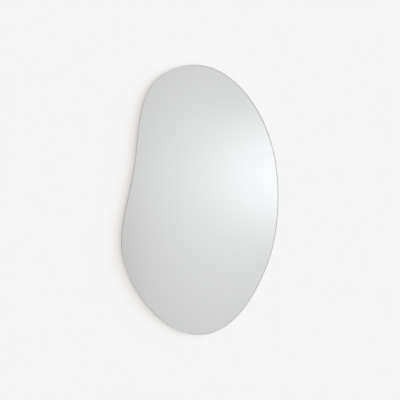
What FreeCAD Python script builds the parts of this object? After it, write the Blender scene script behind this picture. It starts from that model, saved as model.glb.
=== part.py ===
"""Frameless wall mirror with a free pebble outline, in millimetres.

The origin is on the wall, behind the middle of the outline. X runs to the right as seen from the
front, Z runs up, and the reflecting face looks towards -Y. The wall is the plane Y = 0.
"""
import FreeCAD
import Part
import math
import os

from FreeCAD import Placement
from FreeCAD import Rotation
from FreeCAD import Vector

# Outline of the glass, (across, up) from the middle, clockwise from the top left.
# It is 700 wide and 1000 high, fuller low on the left and drawn in at the waist there.
outline_anchors = [
    (-101, 490),
    (82, 480),
    (314, 229),
    (350, 18),
    (329, -162),
    (265, -309),
    (49, -494),
    (-41, -497),
    (-296, -310),
    (-347, -181),
    (-301, 102),
    (-223, 416),
]
outline_samples = 48        # points along the outline that an inset copy follows
outline_arcs = 4            # the closed outline is stored as this many joined curves

# Layers, from the wall to the front
bumper_thickness = 8.0
board_thickness = 12.0
bond_thickness = 1.5        # foam tape and adhesive
silvering_thickness = 0.3   # silver, copper and backing paint together
glass_thickness = 5.0

# Edges
glass_arris = 1.2           # small bevel on both edges of the glass
board_inset = 20.0          # the board stays this far inside the glass
board_eased_edge = 1.0      # bevel round the board's back

# Bond between board and glass: (across, length) of each upright strip or bead
tape_width = 25.0
tape_strips = [(-210, 600), (-70, 820), (70, 820), (210, 600)]
bead_width = 8.0
adhesive_lines = [(-140, 680), (0, 820), (140, 680)]

# Wall bumpers: name and (across, up)
bumper_radius = 10.0
bumper_rim = 1.5            # rounded rim on the wall side
bumper_places = {
    "top_left": (-190, 372),
    "top_right": (160, 378),
    "middle_left": (-252, 60),
    "middle_right": (290, 20),
    "bottom_left": (-215, -335),
    "bottom_right": (190, -335),
}

# D-ring hangers
strap_width = 14.0
strap_layer = 1.0           # the strap is this sheet folded double
strap_length = 48.0         # from the ring's bar to the far end
strap_ramp = 5.0            # where the upper layer comes down onto the lower one
ring_wire_radius = 1.5
ring_bar_clearance = 0.05   # between the bar and the eye round it
ring_end_clearance = 0.3    # between the strap's sides and the ring's corners
ring_corner_radius = 3.0    # to the middle of the wire
ring_side = 2.0             # straight part of each side
ring_rest_angle = 6.5       # folded down, the ring stands this far off the board

# Hanger screws
screw_places = [24.0, 41.0]     # from the ring's bar
screw_hole_radius = 2.0         # in the strap
pilot_radius = 1.75             # in the board
pilot_depth = 10.0
screw_radius = 1.7
screw_length = 11.0             # below the head
screw_point = 3.0
screw_head_radius = 3.4
screw_head_height = 2.0
screw_head_rim = 0.8            # upright part of the head
dome_shoulder_reach = 0.7       # the dome's roundest place, as a share of the head's radius
dome_shoulder_drop = 0.35       # and how far below the top it lies, as a share of the dome
recess_width = 0.9
recess_length = 3.8
recess_depth = 1.2

# Hangers: each pair stands evenly about the mirror's centre of mass.
# Name, (across, up) of the ring's bar, and the turn that brings "up" to the right-hand side.
balance_across = 0.0
balance_up = -2.0
half_spacing = 160.0
top_pair_height = 300.0
side_pair_offset = 245.0
hanger_places = {
    "top_left": (balance_across - half_spacing, top_pair_height, 0.0),
    "top_right": (balance_across + half_spacing, top_pair_height, 0.0),
    "side_upper": (side_pair_offset, balance_up + half_spacing, 90.0),
    "side_lower": (side_pair_offset, balance_up - half_spacing, 90.0),
}

# Depths that follow from the layers
board_back = -bumper_thickness
board_front = board_back - board_thickness
bond_front = board_front - bond_thickness
silvering_front = bond_front - silvering_thickness
glass_front = silvering_front - glass_thickness

strap_thickness = 2 * strap_layer
eye_bore = ring_wire_radius + ring_bar_clearance
eye_radius = eye_bore + strap_layer
ring_half_bar = strap_width / 2 + ring_end_clearance
ring_half_width = ring_half_bar + ring_corner_radius

across = Vector(1, 0, 0)
off_wall = Vector(0, 1, 0)
upward = Vector(0, 0, 1)


def outline_curve():
    """The closed smooth curve through the outline's anchors."""
    curve = Part.BSplineCurve()
    curve.interpolate([Vector(x, 0, z) for x, z in outline_anchors], PeriodicFlag=True)
    return curve


def inset_outline(inset, depth):
    """The outline moved inwards by the inset, as a closed wire at the given depth."""
    curve = outline_curve()
    start = curve.FirstParameter
    span = curve.LastParameter - start
    points = []
    for step in range(outline_samples):
        place = start + span * step / outline_samples
        inwards = off_wall.cross(curve.tangent(place)[0])
        points.append(curve.value(place) + inwards * inset + off_wall * depth)
    inner = Part.BSplineCurve()
    inner.interpolate(points, PeriodicFlag=True)
    return Part.Wire(split_evenly(inner, outline_arcs))


def split_evenly(curve, count):
    """The curve's edges after cutting it into a number of equal spans."""
    start = curve.FirstParameter
    span = (curve.LastParameter - start) / count
    edges = []
    for number in range(count):
        piece = curve.copy()
        piece.segment(start + span * number, start + span * (number + 1))
        edges.append(piece.toShape())
    return edges


def slab(sections):
    """A solid through outlines given as (inset, depth), with straight flanks between them."""
    wires = [inset_outline(inset, depth) for inset, depth in sections]
    return Part.makeLoft(wires, True, True)


def mirror_glass():
    back = silvering_front
    front = glass_front
    return slab([
        (glass_arris, back),
        (0.0, back - glass_arris),
        (0.0, front + glass_arris),
        (glass_arris, front),
    ])


def silver_coating():
    return slab([(glass_arris, bond_front), (glass_arris, silvering_front)])


def backing_board():
    board = slab([
        (board_inset + board_eased_edge, board_back),
        (board_inset, board_back - board_eased_edge),
        (board_inset, board_front),
    ])
    for x, z, turn in hanger_places.values():
        for place in screw_places:
            pilot = Part.makeCylinder(pilot_radius, pilot_depth, Vector(0, 0, -place), -off_wall)
            board = board.cut(put_on_board(pilot, x, z, turn))
    return board


def upright_bar(x, length, width):
    """A flat bar between board and silvering with rounded ends."""
    half = length / 2 - width / 2
    bar = Part.makeBox(width, bond_thickness, 2 * half, Vector(x - width / 2, bond_front, -half))
    for end in (-half, half):
        bar = bar.fuse(Part.makeCylinder(width / 2, bond_thickness, Vector(x, bond_front, end), off_wall))
    return bar.removeSplitter()


def tape_strip(x, length):
    corner = Vector(x - tape_width / 2, bond_front, -length / 2)
    return Part.makeBox(tape_width, bond_thickness, length, corner)


def bumper(x, z):
    pad = Part.makeCylinder(bumper_radius, bumper_thickness, Vector(x, board_back, z), off_wall)
    rim = [edge for edge in pad.Edges if edge.BoundBox.YMin > -bumper_rim]
    return pad.makeFillet(bumper_rim, rim)


# The hanger pieces are made with the ring's bar over the origin along X, the strap hanging down
# from it on the plane Y = 0, and are then put on the board's back.

def put_on_board(shape, x, z, turn):
    """A copy of a hanger piece, turned and moved to its place on the board's back."""
    placed = shape.copy()
    place = Placement(Vector(x, board_back, z), Rotation(off_wall, turn))
    placed.Placement = place.multiply(placed.Placement)
    return placed


def ramp_touch():
    """Where the upper layer's ramp leaves the eye, as (depth, height)."""
    rise = eye_radius - strap_thickness
    reach = math.hypot(strap_ramp, rise)
    run = math.sqrt(reach ** 2 - eye_radius ** 2)
    lean = math.atan2(rise, strap_ramp) + math.asin(eye_radius / reach)
    return strap_thickness + run * math.sin(lean), -strap_ramp + run * math.cos(lean)


def strap():
    """Steel strap folded double round the bar, with a round far end and two screw holes."""
    depth, height = ramp_touch()
    side = -strap_width / 2
    corners = [
        Vector(side, 0, 0),
        Vector(side, 0, -strap_length),
        Vector(side, strap_thickness, -strap_length),
        Vector(side, strap_thickness, -strap_ramp),
        Vector(side, depth, height),
    ]
    edges = [Part.LineSegment(a, b).toShape() for a, b in zip(corners, corners[1:])]
    crown = Vector(side, eye_radius, eye_radius)
    edges.append(Part.Arc(corners[-1], crown, corners[0]).toShape())
    body = Part.Face(Part.Wire(edges)).extrude(across * strap_width)
    eye = Part.makeCylinder(eye_bore, strap_width, Vector(side, eye_radius, 0), across)
    body = body.cut(eye)
    body = body.common(strap_plan())
    for place in screw_places:
        start = Vector(0, 0, -place)
        body = body.cut(Part.makeCylinder(screw_hole_radius, strap_thickness, start, off_wall))
    return body


def strap_plan():
    """The strap's shape seen square on: straight sides and a round far end."""
    half = strap_width / 2
    tall = 2 * eye_radius
    end = -strap_length + half
    plan = Part.makeBox(strap_width, tall, eye_radius - end, Vector(-half, 0, end))
    return plan.fuse(Part.makeCylinder(half, tall, Vector(0, 0, end), off_wall))


def wire_rod(start, end):
    return Part.makeCylinder(ring_wire_radius, (end - start).Length, start, end - start)


def wire_bend(start, heading, pivot, degrees):
    """A bend of the wire from a start point with a heading, round a pivot in the ring's plane."""
    section = Part.Face(Part.Wire(Part.makeCircle(ring_wire_radius, start, heading)))
    return section.revolve(pivot, off_wall, degrees)


def ring():
    """D-shaped ring of round wire, flat in the plane of its bar and hanging down from it."""
    corner = ring_corner_radius
    half = ring_half_width
    sides_end = -corner - ring_side
    left_bar = Vector(-ring_half_bar, 0, 0)
    right_bar = Vector(ring_half_bar, 0, 0)
    pieces = [
        wire_rod(left_bar, right_bar),
        wire_bend(right_bar, across, Vector(ring_half_bar, 0, -corner), 90),
        wire_rod(Vector(half, 0, -corner), Vector(half, 0, sides_end)),
        wire_bend(Vector(half, 0, sides_end), -upward, Vector(0, 0, sides_end), 180),
        wire_rod(Vector(-half, 0, sides_end), Vector(-half, 0, -corner)),
        wire_bend(Vector(-half, 0, -corner), upward, Vector(-ring_half_bar, 0, -corner), 90),
    ]
    loop = pieces[0].multiFuse(pieces[1:]).removeSplitter()
    loop.rotate(Vector(0, 0, 0), across, ring_rest_angle)
    loop.translate(off_wall * eye_radius)
    return loop


def screw(place):
    """Pan-head wood screw through the strap into the board, with a cross recess."""
    seat = strap_thickness
    tip = seat - screw_length
    head_top = seat + screw_head_height
    outline = [
        Vector(0, tip, 0),
        Vector(screw_radius, tip + screw_point, 0),
        Vector(screw_radius, seat, 0),
        Vector(screw_head_radius, seat, 0),
        Vector(screw_head_radius, seat + screw_head_rim, 0),
    ]
    edges = [Part.LineSegment(a, b).toShape() for a, b in zip(outline, outline[1:])]
    drop = dome_shoulder_drop * (screw_head_height - screw_head_rim)
    shoulder = Vector(screw_head_radius * dome_shoulder_reach, head_top - drop, 0)
    edges.append(Part.Arc(outline[-1], shoulder, Vector(0, head_top, 0)).toShape())
    edges.append(Part.LineSegment(Vector(0, head_top, 0), outline[0]).toShape())
    body = Part.Face(Part.Wire(edges)).revolve(Vector(0, 0, 0), off_wall, 360)
    slot_floor = head_top - recess_depth
    for width, length in ((recess_width, recess_length), (recess_length, recess_width)):
        corner = Vector(-width / 2, slot_floor, -length / 2)
        body = body.cut(Part.makeBox(width, 2 * recess_depth, length, corner))
    body.translate(-upward * place)
    return body


def save(node, shapes):
    """Write a node as its solids, one or a group."""
    solids = [solid for shape in shapes for solid in shape.Solids]
    shape = solids[0] if len(solids) == 1 else Part.makeCompound(solids)
    for solid in solids:
        if not solid.isValid():
            raise ValueError(node + " holds a solid that is not valid")
    shape.exportStep("parts/" + node + ".step")
    print("%-28s %2d solid(s) %12.1f mm3" % (node, len(solids), shape.Volume))


def main():
    os.makedirs("parts", exist_ok=True)
    save("mirror_glass", [mirror_glass()])
    save("silver_coating", [silver_coating()])
    save("backing_board", [backing_board()])
    save("mounting_tape", [tape_strip(x, length) for x, length in tape_strips])
    save("adhesive_beads", [upright_bar(x, length, bead_width) for x, length in adhesive_lines])
    for name, (x, z) in bumper_places.items():
        save("wall_bumper_" + name, [bumper(x, z)])
    for name, (x, z, turn) in hanger_places.items():
        save("hanger_strap_" + name, [put_on_board(strap(), x, z, turn)])
        save("hanger_ring_" + name, [put_on_board(ring(), x, z, turn)])
        save("hanger_screws_" + name, [put_on_board(screw(place), x, z, turn) for place in screw_places])


main()
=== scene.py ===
# %% [markdown]
# # A frameless mirror with a pebble outline
# The real object is a sheet of 5 mm mirror glass cut to a free curve. It is bonded to a smaller
# fibreboard panel, so the glass seems to float in front of the wall. Four D-ring hangers and six
# rubber bumpers sit out of sight on the board's back. This file dresses the measured model: it
# keeps every solid where it is, gives each its real finish, and sets up the light of the
# photograph.

# %% Load the measured model
import math

import bmesh
import bpy
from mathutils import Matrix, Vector


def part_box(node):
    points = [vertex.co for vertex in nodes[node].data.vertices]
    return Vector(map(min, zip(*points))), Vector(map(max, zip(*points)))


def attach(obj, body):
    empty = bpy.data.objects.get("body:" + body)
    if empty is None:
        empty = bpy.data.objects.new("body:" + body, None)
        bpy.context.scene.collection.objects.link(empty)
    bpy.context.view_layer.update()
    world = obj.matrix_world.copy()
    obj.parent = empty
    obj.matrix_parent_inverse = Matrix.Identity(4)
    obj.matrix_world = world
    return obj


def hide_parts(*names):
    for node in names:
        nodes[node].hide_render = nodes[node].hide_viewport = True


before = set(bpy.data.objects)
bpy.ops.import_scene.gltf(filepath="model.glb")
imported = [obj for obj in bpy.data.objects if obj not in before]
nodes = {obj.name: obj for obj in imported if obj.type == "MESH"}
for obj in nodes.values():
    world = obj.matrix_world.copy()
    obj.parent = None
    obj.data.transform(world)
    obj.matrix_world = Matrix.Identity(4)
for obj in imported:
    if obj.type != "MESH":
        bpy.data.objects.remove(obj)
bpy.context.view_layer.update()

# %% [markdown]
# ## Where the layers lie
# The mirror is a stack of thin layers. All depths run along Y: the wall is at 0 and the reflecting
# face looks towards -Y, so a smaller number is nearer to the viewer. The depths could be typed in,
# but reading them from the model keeps every later step in place.

# %% Read the layers' depths
MM = 0.001


def depths(node):
    """Where a node starts and ends along Y, the front first."""
    low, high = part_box(node)
    return low[1], high[1]


glass_front, glass_back = depths("mirror_glass")
silver_front, silver_back = depths("silver_coating")
bond_front, bond_back = depths("mounting_tape")
board_front, board_back = depths("backing_board")
print("glass %.1f to %.1f mm, board %.1f to %.1f mm" % (
    glass_front / MM, glass_back / MM, board_front / MM, board_back / MM))

# %% [markdown]
# ## The camera
# The photograph looks at the mirror from the left, about 33 degrees off square and level with its
# middle, from far enough away that the near side is only a little larger. A camera can be placed
# by eye. An angle, a distance and a point to aim at say the same in numbers that can be compared
# with the photograph one at a time.

# %% Place the camera
viewing_azimuth = math.radians(-33.4)
viewing_distance = 3.0
aim = Vector((-0.0060, 0.0, 0.0))
lens_mm = 72.1

camera_data = bpy.data.cameras.new("camera")
camera_data.lens = lens_mm
camera = bpy.data.objects.new("camera", camera_data)
bpy.context.collection.objects.link(camera)
away = Vector((math.sin(viewing_azimuth), -math.cos(viewing_azimuth), 0.0))
camera.location = aim + away * viewing_distance
camera.rotation_euler = (-away).to_track_quat("-Z", "Y").to_euler()
bpy.context.scene.camera = camera
bpy.context.scene.view_settings.view_transform = "Standard"
print("camera at", [round(value, 3) for value in camera.location])

# %% [markdown]
# ## A short way to write materials
# Every finish below is a small graph of shader nodes. It could be built by hand in the node editor.
# A few helpers keep it readable as text instead: one starts an empty material, one adds a node,
# sets it and wires it in one call, and the others do the same for sums, for a mix of two shaders
# and for the last shader, which goes to the material's output.


# %% Start, wire and finish a material
def new_material(name):
    made = bpy.data.materials.new(name)
    made.use_nodes = True
    made.node_tree.nodes.clear()
    return made, made.node_tree


def add(tree, kind, inputs=None, **settings):
    """Adds a node. An input takes either a value or another node's output."""
    made = tree.nodes.new(kind)
    for name, value in settings.items():
        setattr(made, name, value)
    for name, value in (inputs or {}).items():
        socket = made.inputs[name]
        if isinstance(value, bpy.types.NodeSocket):
            tree.links.new(value, socket)
        else:
            socket.default_value = value
    return made


def maths(tree, operation, *values):
    """A sum with one number as its result."""
    return add(tree, "ShaderNodeMath", dict(enumerate(values)), operation=operation).outputs[0]


def mix_shaders(tree, share, first, second):
    """One shader turning into another as the share goes from 0 to 1."""
    return add(tree, "ShaderNodeMixShader", {
        0: share, 1: first.outputs[0], 2: second.outputs[0],
    })


def finish_with(tree, shader):
    """Connects the last shader to the material's output."""
    add(tree, "ShaderNodeOutputMaterial", {"Surface": shader.outputs[0]})


# %% [markdown]
# ## Uneven finishes
# No real finish is the same all over. A photograph of a surface could be wrapped round each piece,
# but it shows seams and blurs close up. Noise made in the object's own space does neither. A smooth
# step turns the noise into patches, and a blend turns the patches into colours. Noise lies mostly
# between 0.3 and 0.7, so most steps below start and end near those.

# %% Noise, steps and blends
noise_roughness = 0.6


def noise(tree, scale, detail=4.0, stretch=(1.0, 1.0, 1.0)):
    """Noise in the object's own space. The scale is in spots per metre."""
    place = add(tree, "ShaderNodeTexCoord")
    spread = add(tree, "ShaderNodeMapping", {"Vector": place.outputs["Object"], "Scale": stretch})
    made = add(tree, "ShaderNodeTexNoise", {
        "Vector": spread.outputs[0], "Scale": scale, "Detail": detail,
        "Roughness": noise_roughness,
    })
    return made.outputs["Fac"]


def ramp(tree, value, start, end, low=0.0, high=1.0):
    """A smooth step: low up to the start, high from the end on."""
    stepped = add(tree, "ShaderNodeMapRange", {
        "Value": value, "From Min": start, "From Max": end, "To Min": low, "To Max": high,
    }, interpolation_type="SMOOTHSTEP")
    return stepped.outputs[0]


def blend(tree, share, first, second):
    """One value or colour turning into another as the share goes from 0 to 1."""
    colour = hasattr(first, "__len__") or getattr(first, "type", "") == "RGBA"
    mixer = add(tree, "ShaderNodeMix", data_type="RGBA" if colour else "FLOAT")
    slots = (6, 7) if colour else (2, 3)    # the mix node keeps its colours apart from its numbers
    tree.links.new(share, mixer.inputs[0])
    for place, value in zip(slots, (first, second)):
        if isinstance(value, bpy.types.NodeSocket):
            tree.links.new(value, mixer.inputs[place])
        else:
            mixer.inputs[place].default_value = value
    return mixer.outputs[2 if colour else 0]


# %% [markdown]
# ## Mirror glass
# Float glass is nearly clear square on, and green-grey along its edge. The edge is ground flat and
# bevelled, not polished like the face, so part of it scatters light and looks pale and satin. Face
# and edge could be picked out by hand and given a material each. Telling them apart by the way they
# look lets one material serve both, also on the round parts of the bevel.

# %% Make the glass
face_tint = (0.994, 1.0, 0.996, 1.0)
edge_tint = (0.83, 0.865, 0.84, 1.0)
edge_clear = 0.5                # share of the light that goes through the ground edge
edge_roughness = (0.32, 0.50)
glass_ior = 1.52


def facing(tree):
    """How squarely a surface looks along Y: -1 on the front, 0 on the edge, 1 on the back."""
    normal = add(tree, "ShaderNodeTexCoord").outputs["Normal"]
    return add(tree, "ShaderNodeSeparateXYZ", {"Vector": normal}).outputs["Y"]


def edge_share(tree, face, edge):
    """0 on a face and 1 on an edge. Both limits say how squarely the surface looks along Y."""
    return ramp(tree, maths(tree, "ABSOLUTE", facing(tree)), face, edge)


def dress(node, finish):
    """Gives a solid of the model its finish."""
    mesh = nodes[node].data
    mesh.materials.clear()
    mesh.materials.append(finish)


def float_glass():
    made, tree = new_material("float_glass")
    edge = edge_share(tree, face=0.95, edge=0.55)
    grinding = noise(tree, 900.0, stretch=(1.0, 6.0, 1.0))
    shader = add(tree, "ShaderNodeBsdfPrincipled", {
        "Base Color": blend(tree, edge, face_tint, edge_tint),
        "Roughness": blend(tree, edge, 0.0, ramp(tree, grinding, 0.3, 0.7, *edge_roughness)),
        "Transmission Weight": blend(tree, edge, 1.0, edge_clear),
        "IOR": glass_ior,
    })
    finish_with(tree, shader)
    return made


dress("mirror_glass", float_glass())
print("glass dressed,", len(nodes["mirror_glass"].data.polygons), "faces")

# %% [markdown]
# ## Silvering
# Behind the glass lies a film of silver, then grey protective paint. Seen from the front the layer
# is the mirror itself. Seen from behind it is a slightly mottled painted rim round the board. Two
# faces in exactly the same place confuse a ray tracer, so this layer is a copy of the measured one
# whose front is set back from the glass by less than the width of a hair.

# %% Mix the silver and the paint
silver_colour = (0.955, 0.962, 0.958, 1.0)
paint_colour = (0.205, 0.228, 0.240, 1.0)
paint_speckle = (0.245, 0.268, 0.280, 1.0)
paint_roughness = (0.42, 0.55)
paint_relief = 0.03 * MM
silver_to_paint = (-0.5, -0.3)  # silver on faces that look to the front, paint on all others


def bump(tree, height, depth):
    """Fine relief of a depth in metres."""
    return add(tree, "ShaderNodeBump", {"Height": height, "Distance": depth}).outputs[0]


def silvering():
    made, tree = new_material("silvering")
    mottle = ramp(tree, noise(tree, 90.0, detail=6.0), 0.3, 0.75)
    orange_peel = noise(tree, 700.0, detail=2.0)
    paint = add(tree, "ShaderNodeBsdfPrincipled", {
        "Base Color": blend(tree, mottle, paint_colour, paint_speckle),
        "Roughness": ramp(tree, mottle, 0.0, 1.0, *paint_roughness),
        "Normal": bump(tree, orange_peel, paint_relief),
    })
    silver = add(tree, "ShaderNodeBsdfPrincipled", {
        "Base Color": silver_colour, "Metallic": 1.0, "Roughness": 0.0,
    })
    painted = ramp(tree, facing(tree), *silver_to_paint)
    finish_with(tree, mix_shaders(tree, painted, silver, paint))
    return made


silver_finish = silvering()
print(silver_finish.name, "mixed")

# %% Set the silvering back from the glass
hair_gap = 0.04 * MM

silver_mesh = nodes["silver_coating"].data.copy()
for vertex in silver_mesh.vertices:
    if vertex.co.y < (silver_front + silver_back) / 2:
        vertex.co.y += hair_gap
silver_mesh.materials.clear()
silver_mesh.materials.append(silver_finish)
silver_film = bpy.data.objects.new("silver_film", silver_mesh)
bpy.context.collection.objects.link(silver_film)
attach(silver_film, "panel")
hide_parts("silver_coating")
print("silvering set back by", hair_gap / MM, "mm")

# %% [markdown]
# ## Backing board
# Medium-density fibreboard has a smooth, faintly clouded face full of short pale and dark fibres,
# and a darker, more open edge where it was routed to shape. Fibres could be drawn one by one. Two
# noises, one stretched sideways and one upwards, give the same crossing flecks for nothing.

# %% Make the board
board_pale = (0.47, 0.33, 0.205, 1.0)
board_dark = (0.33, 0.215, 0.12, 1.0)
board_fleck = (0.23, 0.145, 0.075, 1.0)
board_edge = (0.215, 0.138, 0.080, 1.0)
board_edge_pale = (0.285, 0.190, 0.113, 1.0)
dust_share, fleck_share, cloud_share = 0.30, 0.40, 0.22     # how strongly each one shows
fibre_step = (0.60, 0.74)       # the higher, the fewer fibres
board_roughness = (0.60, 0.80)
board_relief = 0.02 * MM


def fibreboard():
    made, tree = new_material("fibreboard")
    dust = noise(tree, 3600.0, detail=2.0)
    lying = noise(tree, 900.0, detail=3.0, stretch=(0.35, 1.0, 1.6))
    standing = noise(tree, 900.0, detail=3.0, stretch=(1.6, 1.0, 0.35))
    clouds = noise(tree, 11.0, detail=3.0)
    layers = noise(tree, 500.0, detail=2.0, stretch=(0.25, 4.0, 0.25))
    fibres = maths(
        tree, "MAXIMUM", ramp(tree, lying, *fibre_step), ramp(tree, standing, *fibre_step))
    dusty = ramp(tree, dust, 0.3, 0.7, high=dust_share)
    flecks = ramp(tree, fibres, 0.0, 1.0, high=fleck_share)
    cloudy = ramp(tree, clouds, 0.3, 0.8, high=cloud_share)
    sanded = blend(tree, dusty, board_pale, board_dark)
    flecked = blend(tree, flecks, sanded, board_fleck)
    clouded = blend(tree, cloudy, flecked, board_dark)
    routed = blend(tree, ramp(tree, layers, 0.3, 0.7), board_edge, board_edge_pale)
    edge = edge_share(tree, face=0.9, edge=0.4)
    relief = maths(tree, "SUBTRACT", dust, fibres)
    shader = add(tree, "ShaderNodeBsdfPrincipled", {
        "Base Color": blend(tree, edge, clouded, routed),
        "Roughness": ramp(tree, dust, 0.3, 0.8, *board_roughness),
        "Normal": bump(tree, relief, board_relief),
    })
    finish_with(tree, shader)
    return made


dress("backing_board", fibreboard())
print("board dressed,", len(nodes["backing_board"].data.polygons), "faces")

# %% [markdown]
# ## Zinc-plated steel
# The hangers are pressed and bent from steel and plated with bright zinc. The plating has a soft
# sheen with slight clouds and fine rubbing marks. One recipe makes all three kinds of steel part,
# and only the polish and the direction of the marks differ from one to the next.

# %% Mix the plating
zinc = (0.66, 0.67, 0.68, 1.0)
zinc_dull = (0.47, 0.48, 0.50, 1.0)
roughness_spread = 0.18         # from the smoothest to the most rubbed place
plating_relief = 0.02 * MM


def zinc_plate(name, roughness, grain=(1.0, 1.0, 1.0)):
    """Plated steel. The grain says how much the fine marks are stretched along each axis."""
    made, tree = new_material(name)
    clouds = ramp(tree, noise(tree, 180.0, detail=5.0), 0.3, 0.7)
    marks = noise(tree, 1500.0, detail=3.0, stretch=grain)
    shader = add(tree, "ShaderNodeBsdfPrincipled", {
        "Base Color": blend(tree, clouds, zinc_dull, zinc),
        "Metallic": 1.0,
        "Roughness": ramp(tree, marks, 0.25, 0.75, roughness, roughness + roughness_spread),
        "Normal": bump(tree, marks, plating_relief),
    })
    finish_with(tree, shader)
    return made, tree, shader


ring_steel = zinc_plate("ring_steel", 0.16)[0]
screw_steel = zinc_plate("screw_steel", 0.22)[0]
print("plated:", ring_steel.name, "and", screw_steel.name)

# %% [markdown]
# ## The strap's seam
# Each strap is one strip folded double round its ring, so a dark line runs along its sides where
# the two layers meet. The line could be cut into the mesh as a groove. It is thinner than a hair,
# so it is drawn into the material instead, at the depth where the first layer ends.

# %% Draw the seam
seam_colour = (0.03, 0.03, 0.03, 1.0)
seam_depth = board_back + 1.0 * MM      # the strip is 1 mm thick
seam_reach = (0.135 * MM, 0.045 * MM)   # from the seam to where it fades out, and to full dark


def along_depth(tree):
    """Position along Y, in metres."""
    place = add(tree, "ShaderNodeTexCoord").outputs["Object"]
    return add(tree, "ShaderNodeSeparateXYZ", {"Vector": place}).outputs["Y"]


def folded_strap():
    made, tree, shader = zinc_plate("folded_strap", 0.26, grain=(1.0, 1.0, 0.2))
    offset = maths(tree, "SUBTRACT", along_depth(tree), seam_depth)
    near_seam = ramp(tree, maths(tree, "ABSOLUTE", offset), *seam_reach)
    seam = maths(tree, "MULTIPLY", near_seam, edge_share(tree, face=0.4, edge=0.1))
    plating = shader.inputs["Base Color"].links[0].from_socket
    tree.links.new(blend(tree, seam, plating, seam_colour), shader.inputs["Base Color"])
    return made


strap_steel = folded_strap()
print("seam drawn at %.1f mm" % (seam_depth / MM))

# %% Dress the hangers
hanger_finishes = {
    "hanger_ring_": ring_steel, "hanger_screws_": screw_steel, "hanger_strap_": strap_steel,
}
for kind, finish in hanger_finishes.items():
    hanger_parts = [name for name in nodes if name.startswith(kind)]
    for name in hanger_parts:
        dress(name, finish)
    print(finish.name, "on", ", ".join(hanger_parts))

# %% [markdown]
# ## Wall bumpers
# Each bumper is moulded rubber: barrel-shaped sides, a rounded rim and a shallow dish in the face
# that rests on the wall, on a thin clear film of adhesive. A cylinder with a bevel comes close, but
# has neither barrel nor dish. A profile turned about the bumper's middle, as on a lathe, has both.

# %% Turn a profile
turns = 48                   # straight pieces in one full round
bumper_profile = [           # (radius, height off the board) in millimetres
    (9.9, 0.0), (9.9, 0.25), (9.3, 0.3), (9.45, 1.2), (9.7, 2.6),
    (9.8, 4.0), (9.75, 5.2), (9.6, 6.3), (9.3, 7.1), (8.9, 7.6),
    (8.3, 7.9), (7.5, 8.0), (6.6, 7.95), (5.6, 7.7), (4.0, 7.55),
]


def join_rings(shape, rings):
    """Joins each ring of corners to the next with faces, and caps both ends."""
    count = len(rings[0])
    for lower, upper in zip(rings, rings[1:]):
        for corner in range(count):
            after = (corner + 1) % count
            shape.faces.new((lower[corner], lower[after], upper[after], upper[corner]))
    shape.faces.new(rings[0])
    shape.faces.new(list(reversed(rings[-1])))


def shown_object(name, shape):
    """Turns a finished shape into an object of the scene."""
    bmesh.ops.recalc_face_normals(shape, faces=shape.faces)
    mesh = bpy.data.meshes.new(name)
    shape.to_mesh(mesh)
    shape.free()
    made = bpy.data.objects.new(name, mesh)
    bpy.context.collection.objects.link(made)
    return made


def turned(name, profile, centre, base):
    """A closed body turned about an axis along Y, from (radius, height) pairs."""
    shape = bmesh.new()
    rings = []
    for radius, height in profile:
        ring = []
        for step in range(turns):
            angle = 2 * math.pi * step / turns
            ring.append(shape.verts.new((
                centre[0] + radius * MM * math.cos(angle),
                base + height * MM,
                centre[1] + radius * MM * math.sin(angle),
            )))
        rings.append(ring)
    join_rings(shape, rings)
    made = shown_object(name, shape)
    made.data.shade_smooth()
    return made


print("bumper profile: %.1f mm wide, %.1f mm high" % (
    2 * max(radius for radius, height in bumper_profile),
    max(height for radius, height in bumper_profile)))

# %% [markdown]
# ## Rubber
# Black rubber turns a little grey in patches where its wax comes to the surface. The film of
# adhesive under it shows as a pale line at the board. The film could be a disc of its own. One
# colour by height off the board does the same, because the profile has a step for it.

# %% Mix the rubber
rubber_black = (0.018, 0.018, 0.019, 1.0)
rubber_bloom = (0.045, 0.045, 0.047, 1.0)
film_colour = (0.62, 0.60, 0.55, 1.0)
film_top = (0.32 * MM, 0.24 * MM)       # off the board: the first of the rubber, the last of film
rubber_roughness = (0.55, 0.75)
rubber_relief = 0.04 * MM


def rubber():
    made, tree = new_material("bumper_rubber")
    grain = noise(tree, 2600.0, detail=2.0)
    bloom = ramp(tree, noise(tree, 120.0), 0.4, 0.8)
    film = ramp(tree, along_depth(tree), *(board_back + height for height in film_top))
    body = blend(tree, bloom, rubber_black, rubber_bloom)
    shader = add(tree, "ShaderNodeBsdfPrincipled", {
        "Base Color": blend(tree, film, body, film_colour),
        "Roughness": ramp(tree, grain, 0.2, 0.8, *rubber_roughness),
        "Normal": bump(tree, grain, rubber_relief),
    })
    finish_with(tree, shader)
    return made


bumper_finish = rubber()
print(bumper_finish.name, "mixed")

# %% Fit the bumpers
for node in [name for name in nodes if name.startswith("wall_bumper_")]:
    low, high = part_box(node)
    middle = ((low[0] + high[0]) / 2, (low[2] + high[2]) / 2)
    place = node.replace("wall_bumper_", "")
    bumper = turned("bumper_rubber_" + place, bumper_profile, middle, board_back)
    bumper.data.materials.append(bumper_finish)
    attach(bumper, "panel")
    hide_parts(node)
    print(bumper.name, "at", [round(value, 3) for value in middle])

# %% [markdown]
# ## Tape and adhesive
# Between glass and board, double-sided foam tape holds the sheet until the upright beads of mirror
# adhesive have set. The model has them as plain strips, several to a node. Their places could be
# copied from a drawing, but then they would stay behind if the model changes. So each strip is
# found in the model's own mesh, by walking along its edges until no new corner turns up.


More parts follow.
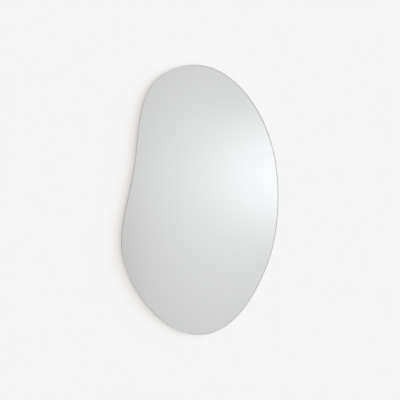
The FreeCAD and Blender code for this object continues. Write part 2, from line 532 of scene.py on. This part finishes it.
# %% Find the strips in the model
def solids_of(node):
    """(middle across, half length, half width) of each separate solid in a node."""
    shape = bmesh.new()
    shape.from_mesh(nodes[node].data)
    bmesh.ops.remove_doubles(shape, verts=shape.verts, dist=0.001 * MM)
    left = set(shape.verts)
    found = []
    while left:
        island = {left.pop()}
        border = list(island)
        while border:
            vertex = border.pop()
            for link in vertex.link_edges:
                other = link.other_vert(vertex)
                if other in left:
                    left.discard(other)
                    island.add(other)
                    border.append(other)
        xs = [vertex.co.x for vertex in island]
        zs = [vertex.co.z for vertex in island]
        found.append((
            (min(xs) + max(xs)) / 2, (max(zs) - min(zs)) / 2, (max(xs) - min(xs)) / 2,
        ))
    shape.free()
    return sorted(found)


for node in ("mounting_tape", "adhesive_beads"):
    for across, half_length, half_width in solids_of(node):
        print(node, "strip at %.0f mm, %.0f long and %.0f wide" % (
            across / MM, 2 * half_length / MM, 2 * half_width / MM))

# %% [markdown]
# ## Pressed flat
# Pressed foam pulls in a little along its sides. Pressed adhesive swells out there, wider in some
# places than in others, and its ends are round. A cloth or fluid simulation could press them. Here
# a strip is swept from end to end instead, from a width that a small function gives for each
# height, which costs nothing and comes out the same every time.

# %% Sweep a strip
bond_thickness = bond_back - bond_front
side_steps = 4      # faces from the front of a side to its back


def pressed_strip(shape, across, half_length, width_at, swell, stations):
    """Adds a flat strip along Z whose sides swell out, or pull in where swell is negative."""
    rings = []
    for step in range(stations + 1):
        height = -half_length + 2 * half_length * step / stations
        half_width = width_at(height)
        ring = []
        for side in (-1, 1):
            for part in range(side_steps + 1):
                share = part / side_steps
                depth = bond_front + bond_thickness * (share if side < 0 else 1 - share)
                out = half_width + swell * math.sin(math.pi * share)
                ring.append(shape.verts.new((across + side * out, depth, height)))
        rings.append(ring)
    join_rings(shape, rings)


def strips_of(node, width_for, swell, stations):
    """One mesh with a pressed strip for each solid of the node."""
    shape = bmesh.new()
    for across, half_length, half_width in solids_of(node):
        width_at = width_for(across, half_length, half_width)
        pressed_strip(shape, across, half_length, width_at, swell, stations)
    return shown_object(node + "_pressed", shape)


print("bond %.1f mm thick" % (bond_thickness / MM))

# %% Say how wide foam and adhesive are
tape_inset = 0.4 * MM
bead_inset = 2.2 * MM
bead_round_end = 4.0 * MM
bead_waves = (              # (size in metres, radians per metre of height, start)
    (0.72 * MM, 37.0, 0.4), (0.48 * MM, 71.0, 1.9), (0.28 * MM, 133.0, 0.8),
)
wave_shift = 9.0            # makes each bead wave in its own way
narrowest_end = 0.02        # keeps the very end from closing to a point


def even_width(across, half_length, half_width):
    """Foam keeps one width from end to end."""
    return lambda height: half_width - tape_inset


def wavy_width(across, half_length, half_width):
    """Adhesive is wider in some places than in others, with round ends."""
    def width(height):
        wave = sum(size * math.sin(rate * height + start + wave_shift * across)
                   for size, rate, start in bead_waves)
        to_end = half_length - abs(height)
        closing = 1.0
        if to_end < bead_round_end:
            closing = math.sqrt(max(1 - (1 - to_end / bead_round_end) ** 2, narrowest_end))
        return (half_width - bead_inset + wave) * closing
    return width


for across, half_length, half_width in solids_of("adhesive_beads"):
    width_at = wavy_width(across, half_length, half_width)
    print("bead at %.0f mm is %.1f mm wide at its middle" % (across / MM, 2 * width_at(0) / MM))

# %% [markdown]
# ## Foam and cured adhesive
# Foam is white and full of tiny open cells. Cured adhesive is cream, a little glossy, and some
# light wanders through it. Cells could be cut into the mesh, but they are too small to see one by
# one, so a cell pattern bumps them and paints shade into their hollows; the adhesive gets light
# under its surface.

# %% Mix the foam and the adhesive
foam_white = (0.86, 0.86, 0.84, 1.0)
# painted shade: the darker colour stands for the shade inside the foam's cells
foam_hollow_shade = (0.66, 0.66, 0.64, 1.0)
foam_cells = 2200.0         # per metre
foam_relief = 0.1 * MM
adhesive_dark = (0.70, 0.64, 0.52, 1.0)
adhesive_pale = (0.80, 0.76, 0.66, 1.0)
adhesive_relief = 0.3 * MM
adhesive_glow = 0.15        # share of light that wanders through it


def foam():
    made, tree = new_material("tape_foam")
    place = add(tree, "ShaderNodeTexCoord").outputs["Object"]
    cells = add(tree, "ShaderNodeTexVoronoi", {
        "Vector": place, "Scale": foam_cells,
    }).outputs["Distance"]
    shader = add(tree, "ShaderNodeBsdfPrincipled", {
        # painted shade: the cell pattern darkens the foam where its hollows would be in shade
        "Base Color": blend(tree, ramp(tree, cells, 0.1, 0.6), foam_white, foam_hollow_shade),
        "Roughness": ramp(tree, cells, 0.0, 0.8, 0.9, 0.7),
        "Normal": bump(tree, cells, foam_relief),
    })
    finish_with(tree, shader)
    return made


def cured_adhesive():
    made, tree = new_material("cured_adhesive")
    lumps = noise(tree, 160.0, detail=3.0)
    shader = add(tree, "ShaderNodeBsdfPrincipled", {
        "Base Color": blend(tree, ramp(tree, lumps, 0.3, 0.8), adhesive_dark, adhesive_pale),
        "Roughness": ramp(tree, lumps, 0.2, 0.8, 0.3, 0.5),
        "Subsurface Weight": adhesive_glow,
        "Normal": bump(tree, lumps, adhesive_relief),
    })
    finish_with(tree, shader)
    return made


foam_finish, adhesive_finish = foam(), cured_adhesive()
print(foam_finish.name, "and", adhesive_finish.name, "mixed")

# %% Lay the tape and the adhesive
tape = strips_of("mounting_tape", even_width, swell=-0.25 * MM, stations=60)
tape.data.materials.append(foam_finish)
beads = strips_of("adhesive_beads", wavy_width, swell=0.5 * MM, stations=240)
beads.data.materials.append(adhesive_finish)
for piece, node, slot in (
    (tape, "mounting_tape", "foam_tape"), (beads, "adhesive_beads", "adhesive"),
):
    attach(piece, "panel")
    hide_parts(node)
    print(piece.name, len(piece.data.polygons), "faces")

# %% [markdown]
# ## Wall and floor
# The mirror hangs on a plain pale wall above a pale floor. Both are only a setting. Solid walls
# would hide the mirror from behind, so each is a single face, painted on the side that looks into
# the room and open on the other. Only the camera sees them, and they take the mirror's shadow.

# %% Build the wall and the floor
pale = (0.90, 0.90, 0.90, 1.0)
paint_grain = 0.01 * MM
wall_gap = 0.2 * MM
floor_height = -1.45
room_half_width = 8.0
room_height = 6.0
room_depth = 8.0


def one_sided(name, colour):
    made, tree = new_material(name)
    grain = noise(tree, 300.0, detail=2.0)
    painted = add(tree, "ShaderNodeBsdfDiffuse", {
        "Color": colour, "Normal": bump(tree, grain, paint_grain),
    })
    open_side = add(tree, "ShaderNodeBsdfTransparent")
    behind = add(tree, "ShaderNodeNewGeometry").outputs["Backfacing"]
    finish_with(tree, mix_shaders(tree, behind, painted, open_side))
    return made


def setting(name, corners, finish):
    """A flat part of the room, which isn't part of the object."""
    mesh = bpy.data.meshes.new(name)
    mesh.from_pydata(corners, [], [tuple(range(len(corners)))])
    mesh.materials.append(finish)
    made = bpy.data.objects.new(name, mesh)
    bpy.context.collection.objects.link(made)
    made.visible_shadow = False
    made.visible_diffuse = False
    made.visible_glossy = False
    made.visible_transmission = False
    return made


left, right = -room_half_width, room_half_width
setting("wall", [
    (left, wall_gap, floor_height), (right, wall_gap, floor_height),
    (right, wall_gap, room_height), (left, wall_gap, room_height),
], one_sided("wall_paint", pale))
setting("floor", [
    (left, wall_gap, floor_height), (left, -room_depth, floor_height),
    (right, -room_depth, floor_height), (right, wall_gap, floor_height),
], one_sided("floor_paint", pale))
print("wall and floor %.0f m wide" % (right - left))

# %% [markdown]
# ## Light
# The photograph's shadow lies on the left only, fades over about 9 cm, is slightly warm and never
# gets dark. So a broad, slightly blue light stands far to the right and a little above, which gives
# the wide faint part, and a second one in front, which gives the darker part close to the edge. An
# even, slightly warm light fills both, and the three together give the wall a neutral white. One
# more even light, from above, is there for the floor.

# %% Hang the front lights
lamp_distance = 4.0         # only where the lamp is drawn: a sun is even at any distance


def towards(azimuth, elevation):
    """A direction. Azimuth 0 is straight in front of the mirror, 90 its right side."""
    turn, lift = math.radians(azimuth), math.radians(elevation)
    return Vector((
        math.sin(turn) * math.cos(lift), -math.cos(turn) * math.cos(lift), math.sin(lift),
    ))


def soft_sun(name, azimuth, elevation, strength, spread,
             colour=(1.0, 1.0, 1.0), shadows=True, gloss=False):
    """Even light from a direction. The wider its spread in degrees, the softer its shadow."""
    data = bpy.data.lights.new(name, "SUN")
    data.energy = strength
    data.angle = math.radians(spread)
    data.color = colour
    data.use_shadow = shadows
    made = bpy.data.objects.new(name, data)
    bpy.context.collection.objects.link(made)
    source = towards(azimuth, elevation)
    made.rotation_euler = source.to_track_quat("Z", "Y").to_euler()
    made.location = source * lamp_distance
    made.visible_glossy = gloss
    made.visible_transmission = gloss
    print(name, "from", [round(value, 2) for value in source])
    return made


cool_window = (0.82, 1.0, 1.13)
warm_bounce = (1.038, 1.0, 0.972)
warm_floor = (1.08, 1.0, 0.92)
soft_sun("key", azimuth=50, elevation=12, strength=0.605, spread=60, colour=cool_window)
soft_sun("gap_light", azimuth=-10, elevation=4, strength=0.75, spread=60)
soft_sun("fill", azimuth=0, elevation=0, strength=1.838, spread=10,
         colour=warm_bounce, shadows=False)
soft_sun("floor_fill", azimuth=0, elevation=90, strength=0.70, spread=10,
         colour=warm_floor, shadows=False)

# %% [markdown]
# ## Light from behind
# Two lamps show the board when it is looked at from behind. The wall lets them through, so they
# would also leak round the board and brighten the wall in front views. Turning them off there isn't
# possible, because one scene serves every view. Instead, they light only the surface that is looked
# at: a ray that has already bounced off a matt surface doesn't see them.

# %% Hang the back lights
no_bounce = 0.5         # between 0 and 1 bounces


def first_surface_only(lamp):
    """The lamp lights what is looked at, and nothing that only bounces light on."""
    lamp.data.use_nodes = True
    tree = lamp.data.node_tree
    tree.nodes.clear()
    bounces = add(tree, "ShaderNodeLightPath").outputs["Diffuse Depth"]
    light = add(tree, "ShaderNodeEmission", {
        "Color": (1.0, 1.0, 1.0, 1.0), "Strength": maths(tree, "LESS_THAN", bounces, no_bounce),
    })
    add(tree, "ShaderNodeOutputLight", {"Surface": light.outputs[0]})


first_surface_only(soft_sun(
    "back_key", azimuth=145, elevation=40, strength=1.9, spread=30, gloss=True))
first_surface_only(soft_sun(
    "back_fill", azimuth=190, elevation=5, strength=0.25, spread=10, shadows=False))

# %% [markdown]
# ## What the mirror sees
# A mirror shows the room in front of it, so the look of its face is the room's brightness: a grey
# studio with soft light panels standing round it. In the photograph the face reflects a tall dim
# panel, and the end of a brighter, bluer strip beside it lights the right-hand middle. A dim corner
# darkens the lower left border and a ceiling beam the upper right, both written as panels that take
# light away. Plain soft panels stand every 45 degrees on from there, so the face has a gentle
# gradient from any side.

# %% Plan the panels
# Each panel is (azimuth, elevation, half width, half height) in degrees, and its light.
tall_panel = (35.3, 0.64, 8.15, 14.0, (0.347, 0.347, 0.347))
bright_strip = (47.4, 1.87, 7.44, 3.2, (0.582, 0.594, 0.651))
dim_corner = (27.9, -6.2, 1.0, 6.0, (-0.033, -0.048, -0.046))
ceiling_beam = (36.4, 7.6, 1.6, 1.0, (-0.032, -0.032, -0.032))
soft_panels = [
    (tall_panel[0] + 45.0 * step, 2.0, 12.0, 12.0, (0.38, 0.38, 0.385)) for step in range(1, 8)
]
panels = [tall_panel, bright_strip, dim_corner, ceiling_beam] + soft_panels
print(len(panels), "light panels planned")

# %% [markdown]
# ## The plain room
# The room could be modelled, but its walls would cost time in every render and stand in the way of
# other views. The world background gives the same reflections: for each direction it works out how
# bright the room is there, brighter towards the ceiling and the floor, and again behind the mirror.

# %% Paint the plain room
room_grey = 0.404
ceiling_glow = 0.16
floor_glow = 0.36
behind_low = 0.45
behind_high = 0.90
floor_rise = (-0.18, -0.55)     # where the glow starts and is full, 0 being level
ceiling_rise = (0.18, 0.7)
behind_rise = (-0.5, 0.6)
front_to_back = (0.0, 0.2)      # the front of the room ends at the wall and turns into the back

world = bpy.data.worlds.new("studio")
world.use_nodes = True
bpy.context.scene.world = world
tree = world.node_tree
tree.nodes.clear()
direction = add(tree, "ShaderNodeTexCoord").outputs["Generated"]
parts = add(tree, "ShaderNodeSeparateXYZ", {"Vector": direction})
depth, height = parts.outputs["Y"], parts.outputs["Z"]
below = ramp(tree, height, *floor_rise, high=floor_glow)
above = ramp(tree, height, *ceiling_rise, room_grey, room_grey + ceiling_glow)
behind = ramp(tree, height, *behind_rise, behind_low, behind_high)
in_front = maths(tree, "ADD", below, above)
plain = blend(tree, ramp(tree, depth, *front_to_back), in_front, behind)
seen = add(tree, "ShaderNodeCombineXYZ", {"X": plain, "Y": plain, "Z": plain}).outputs[0]
print("plain room of grey", room_grey)

# %% [markdown]
# ## The light panels
# A real panel has a soft glow that fades towards its rim. A bell curve round the panel's middle,
# wider one way than the other, fades the same way, and adding one for each panel to the plain room
# is all that the mirror needs to see.

# %% Add the panels to the room
def vector_maths(tree, operation, *values):
    """A sum on three numbers at once."""
    made = add(tree, "ShaderNodeVectorMath", dict(enumerate(values)), operation=operation)
    return made.outputs["Value" if operation == "DOT_PRODUCT" else "Vector"]


for azimuth, elevation, half_width, half_height, light in panels:
    reach, rise = math.radians(half_width), math.radians(half_height)
    offset = vector_maths(tree, "SUBTRACT", direction, towards(azimuth, elevation))
    scaled = vector_maths(tree, "MULTIPLY", offset, (1 / reach, 1 / reach, 1 / rise))
    squared = vector_maths(tree, "DOT_PRODUCT", scaled, scaled)
    glow = maths(tree, "EXPONENT", maths(tree, "MULTIPLY", squared, -0.5))
    glow_on_all = add(tree, "ShaderNodeCombineXYZ", {"X": glow, "Y": glow, "Z": glow}).outputs[0]
    seen = vector_maths(tree, "MULTIPLY_ADD", light, glow_on_all, seen)
print(len(panels), "panels glow in a room of", len(tree.nodes), "nodes")

# %% [markdown]
# ## Who sees which light
# One world serves three kinds of ray. Glass and metal see the grey room. Matt surfaces get a low,
# even light, and more of it from behind. That light dies out after a bounce or two, or it would
# leak round the board as the back lamps did. The camera sees a plain pale backdrop where neither
# wall nor floor is in its way.

# %% Light the room
backdrop_white = (0.922, 0.922, 0.922, 1.0)
front_light = 0.08
back_light = 0.50
one_bounce = 1.5        # between 1 and 2 bounces

path = add(tree, "ShaderNodeLightPath").outputs
reflected = maths(tree, "MAXIMUM", path["Is Glossy Ray"], path["Is Transmission Ray"])
early = maths(tree, "LESS_THAN", path["Diffuse Depth"], one_bounce)
even_light = ramp(tree, depth, *front_to_back, front_light, back_light)
ambient = add(tree, "ShaderNodeBackground", {
    "Color": (1.0, 1.0, 1.0, 1.0), "Strength": maths(tree, "MULTIPLY", early, even_light),
})
room = add(tree, "ShaderNodeBackground", {"Color": seen, "Strength": 1.0})
backdrop = add(tree, "ShaderNodeBackground", {"Color": backdrop_white, "Strength": 1.0})
unseen = mix_shaders(tree, reflected, ambient, room)
shown = mix_shaders(tree, path["Is Camera Ray"], unseen, backdrop)
add(tree, "ShaderNodeOutputWorld", {"Surface": shown.outputs[0]})
print("room lit:", front_light, "in front,", back_light, "behind")
